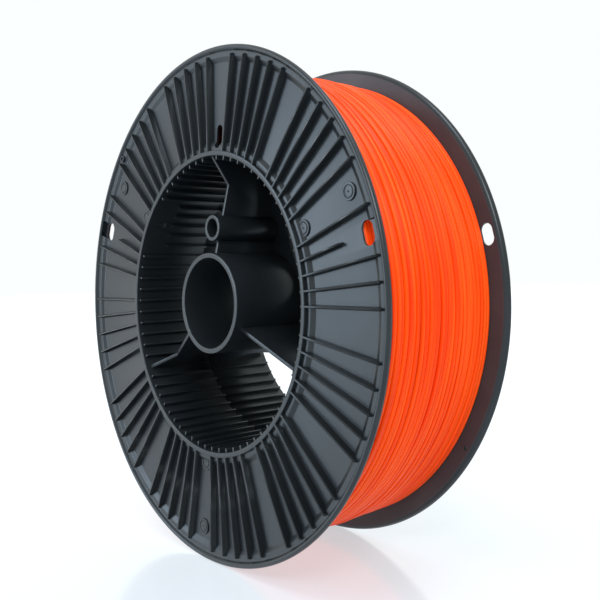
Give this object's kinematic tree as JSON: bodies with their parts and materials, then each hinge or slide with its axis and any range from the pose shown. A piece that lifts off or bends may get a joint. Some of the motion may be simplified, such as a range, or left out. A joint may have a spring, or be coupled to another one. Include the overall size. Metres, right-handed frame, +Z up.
{
  "type": "filament spool",
  "caption": "Large two-half filament spool with ribbed flanges, a three-web hub with a drive hole, and a full winding of orange filament.",
  "frame": {"origin": "on the floor under the middle of the spool, where its rims rest, half way between the two flanges", "axes": "+Z up, +Y along the axle from the front flange to the rear flange, +X to the right seen from the front"},
  "size_m": [0.3, 0.094, 0.3],
  "materials": {
    "moulding": "satin",
    "filament": "glossy"
  },
  "bodies": {
    "root": {"front_flange": "moulding", "front_drum": "moulding", "front_hub_tube": "moulding", "front_drive_tube": "moulding", "front_top_web": "moulding", "front_left_web": "moulding", "front_right_web": "moulding", "front_joining_plate": "moulding", "rear_flange": "moulding", "rear_drum": "moulding", "rear_hub_tube": "moulding", "rear_drive_tube": "moulding", "rear_top_web": "moulding", "rear_left_web": "moulding", "rear_right_web": "moulding", "rear_joining_plate": "moulding", "filament_winding": "filament"}
  },
  "joints": []
}
